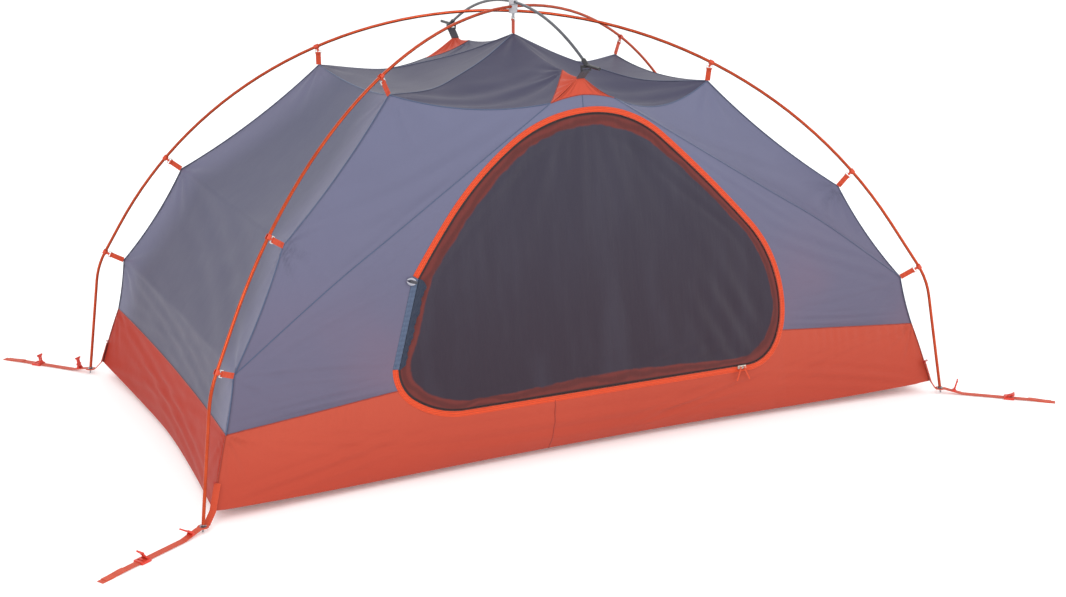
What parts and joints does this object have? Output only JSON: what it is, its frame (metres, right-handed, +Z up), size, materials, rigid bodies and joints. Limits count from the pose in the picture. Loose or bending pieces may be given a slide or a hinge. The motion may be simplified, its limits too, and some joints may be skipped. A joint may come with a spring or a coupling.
{
  "type": "dome tent",
  "caption": "Free-standing dome tent on two crossing poles with a short brow pole, clipped canopy, bathtub floor and zipped mesh doors on both sides.",
  "frame": {"origin": "on the ground, on the vertical line through the crossing of the poles; the flat floor's underside is z = 0", "axes": "+X to the foot end, -X to the head end; -Y to the front door, +Y to the back door; +Z up"},
  "size_m": [2.9021, 1.7995, 1.1963],
  "materials": {
    "canopy_fabric": "satin woven nylon",
    "tub_fabric": "coated nylon, satin",
    "door_mesh": "fine mesh, matte",
    "zip_tape": "woven tape, matte",
    "patch_fabric": "coated nylon, satin",
    "binding_cloth": "woven tape, matte",
    "webbing": "woven webbing, matte",
    "dark_webbing": "woven webbing, matte",
    "pull_cord": "braided cord, matte",
    "slider_metal": "silver beige paint",
    "toggle_plastic": "moulded",
    "orange_plastic": "moulded, soft gloss",
    "clip_plastic": "moulded, soft gloss",
    "ring_plastic": "moulded, soft gloss",
    "hub_plastic": "moulded",
    "black_plastic": "moulded",
    "grommet_metal": "plated",
    "tip_metal": "turned",
    "pole_tube": "orange-red anodised, satin",
    "brow_tube": "dark grey anodised, satin",
    "ferrule_tube": "plain drawn tube",
    "shock_cord": "braided elastic"
  },
  "bodies": {
    "tent": {"back_door_zip": "zip_tape", "brow_end_fittings": "black_plastic", "brow_patches": "patch_fabric", "brow_pole": "brow_tube", "brow_straps": "dark_webbing", "buckle_bases": "orange_plastic", "clip_rings": "ring_plastic", "clip_webbing": "webbing", "corner_straps": "webbing", "door_bindings": "binding_cloth", "door_toggles": "toggle_plastic", "floor_sheet": "tub_fabric", "front_door_zip": "zip_tape", "grommets": "grommet_metal", "hub_clips": "hub_plastic", "pole_a_arch_sections": "pole_tube", "pole_a_leg_sections": "pole_tube", "pole_b_arch_sections": "pole_tube", "pole_b_leg_sections": "pole_tube", "pole_clips": "clip_plastic", "pole_ferrules": "ferrule_tube", "pole_tips": "tip_metal", "roof_back": "canopy_fabric", "roof_foot": "canopy_fabric", "roof_front": "canopy_fabric", "roof_head": "canopy_fabric", "shock_cords": "shock_cord", "tub_back": "tub_fabric", "tub_foot": "tub_fabric", "tub_front": "tub_fabric", "tub_head": "tub_fabric", "wall_back_foot_lower": "canopy_fabric", "wall_back_foot_upper": "canopy_fabric", "wall_back_head_lower": "canopy_fabric", "wall_back_head_upper": "canopy_fabric", "wall_foot": "canopy_fabric", "wall_front_foot_lower": "canopy_fabric", "wall_front_foot_upper": "canopy_fabric", "wall_front_head_lower": "canopy_fabric", "wall_front_head_upper": "canopy_fabric", "wall_head": "canopy_fabric"},
    "front_door": {"front_door_panel": "door_mesh"},
    "front_slider_long": {"front_slider_long": "slider_metal"},
    "front_pull_long": {"front_pull_long": "pull_cord"},
    "front_slider_short": {"front_slider_short": "slider_metal"},
    "front_pull_short": {"front_pull_short": "pull_cord"},
    "back_door": {"back_door_panel": "door_mesh"},
    "back_slider_long": {"back_slider_long": "slider_metal"},
    "back_pull_long": {"back_pull_long": "pull_cord"},
    "back_slider_short": {"back_slider_short": "slider_metal"},
    "back_pull_short": {"back_pull_short": "pull_cord"},
    "ladder_lock_head_front": {"ladder_lock_head_front": "orange_plastic"},
    "fly_buckle_head_front": {"fly_buckle_head_front": "orange_plastic"},
    "ladder_lock_foot_front": {"ladder_lock_foot_front": "orange_plastic"},
    "fly_buckle_foot_front": {"fly_buckle_foot_front": "orange_plastic"},
    "ladder_lock_head_back": {"ladder_lock_head_back": "orange_plastic"},
    "fly_buckle_head_back": {"fly_buckle_head_back": "orange_plastic"},
    "ladder_lock_foot_back": {"ladder_lock_foot_back": "orange_plastic"},
    "fly_buckle_foot_back": {"fly_buckle_foot_back": "orange_plastic"}
  },
  "joints": [
    {"name": "front_door_swing", "type": "hinge", "parent": "tent", "child": "front_door", "pos_m": [-0.56773, -0.55197, 0.42928], "axis": [-0.3174, -0.1816, -0.9307], "range_deg": [0, 100]},
    {"name": "front_slider_long_run", "type": "slide", "parent": "tent", "child": "front_slider_long", "axis": [-1, 0.0011, 0.0054], "range_m": [0, 0.85]},
    {"name": "front_pull_long_swing", "type": "hinge", "parent": "front_slider_long", "child": "front_pull_long", "pos_m": [0.44026, -0.6094, 0.17516], "axis": [-1, 0.0011, 0.0054], "range_deg": [0, 150]},
    {"name": "front_slider_short_run", "type": "slide", "parent": "tent", "child": "front_slider_short", "axis": [1, -0.0011, -0.0054], "range_m": [0, 0.012]},
    {"name": "front_pull_short_swing", "type": "hinge", "parent": "front_slider_short", "child": "front_pull_short", "pos_m": [0.45376, -0.60941, 0.17509], "axis": [-1, 0.0011, 0.0054], "range_deg": [0, 150]},
    {"name": "back_door_swing", "type": "hinge", "parent": "tent", "child": "back_door", "pos_m": [0.56773, 0.55197, 0.42928], "axis": [0.3174, 0.1816, -0.9307], "range_deg": [0, 100]},
    {"name": "back_slider_long_run", "type": "slide", "parent": "tent", "child": "back_slider_long", "axis": [1, -0.0011, 0.0054], "range_m": [0, 0.85]},
    {"name": "back_pull_long_swing", "type": "hinge", "parent": "back_slider_long", "child": "back_pull_long", "pos_m": [-0.44026, 0.6094, 0.17516], "axis": [1, -0.0011, 0.0054], "range_deg": [0, 150]},
    {"name": "back_slider_short_run", "type": "slide", "parent": "tent", "child": "back_slider_short", "axis": [-1, 0.0011, -0.0054], "range_m": [0, 0.012]},
    {"name": "back_pull_short_swing", "type": "hinge", "parent": "back_slider_short", "child": "back_pull_short", "pos_m": [-0.45376, 0.60941, 0.17509], "axis": [1, -0.0011, 0.0054], "range_deg": [0, 150]},
    {"name": "ladder_lock_head_front_slide", "type": "slide", "parent": "tent", "child": "ladder_lock_head_front", "axis": [-0.866, -0.5, 0], "range_m": [-0.07, 0.035]},
    {"name": "fly_buckle_head_front_fold", "type": "hinge", "parent": "tent", "child": "fly_buckle_head_front", "pos_m": [-1.21202, -0.68346, 0.01606], "axis": [-0.5, 0.866, 0], "range_deg": [0, 110]},
    {"name": "ladder_lock_foot_front_slide", "type": "slide", "parent": "tent", "child": "ladder_lock_foot_front", "axis": [0.7593, -0.6508, 0], "range_m": [-0.07, 0.035]},
    {"name": "fly_buckle_foot_front_fold", "type": "hinge", "parent": "tent", "child": "fly_buckle_foot_front", "pos_m": [1.18037, -0.67479, 0.01606], "axis": [-0.6508, -0.7593, 0], "range_deg": [0, 75]},
    {"name": "ladder_lock_head_back_slide", "type": "slide", "parent": "tent", "child": "ladder_lock_head_back", "axis": [-0.6587, 0.7524, 0], "range_m": [-0.07, 0.035]},
    {"name": "fly_buckle_head_back_fold", "type": "hinge", "parent": "tent", "child": "fly_buckle_head_back", "pos_m": [-1.20301, 0.69443, 0.01606], "axis": [0.7524, 0.6587, 0], "range_deg": [0, 75]},
    {"name": "ladder_lock_foot_back_slide", "type": "slide", "parent": "tent", "child": "ladder_lock_foot_back", "axis": [0.809, 0.5878, 0], "range_m": [-0.07, 0.035]},
    {"name": "fly_buckle_foot_back_fold", "type": "hinge", "parent": "tent", "child": "fly_buckle_foot_back", "pos_m": [1.18254, 0.67206, 0.01606], "axis": [0.5878, -0.809, 0], "range_deg": [0, 75]}
  ]
}
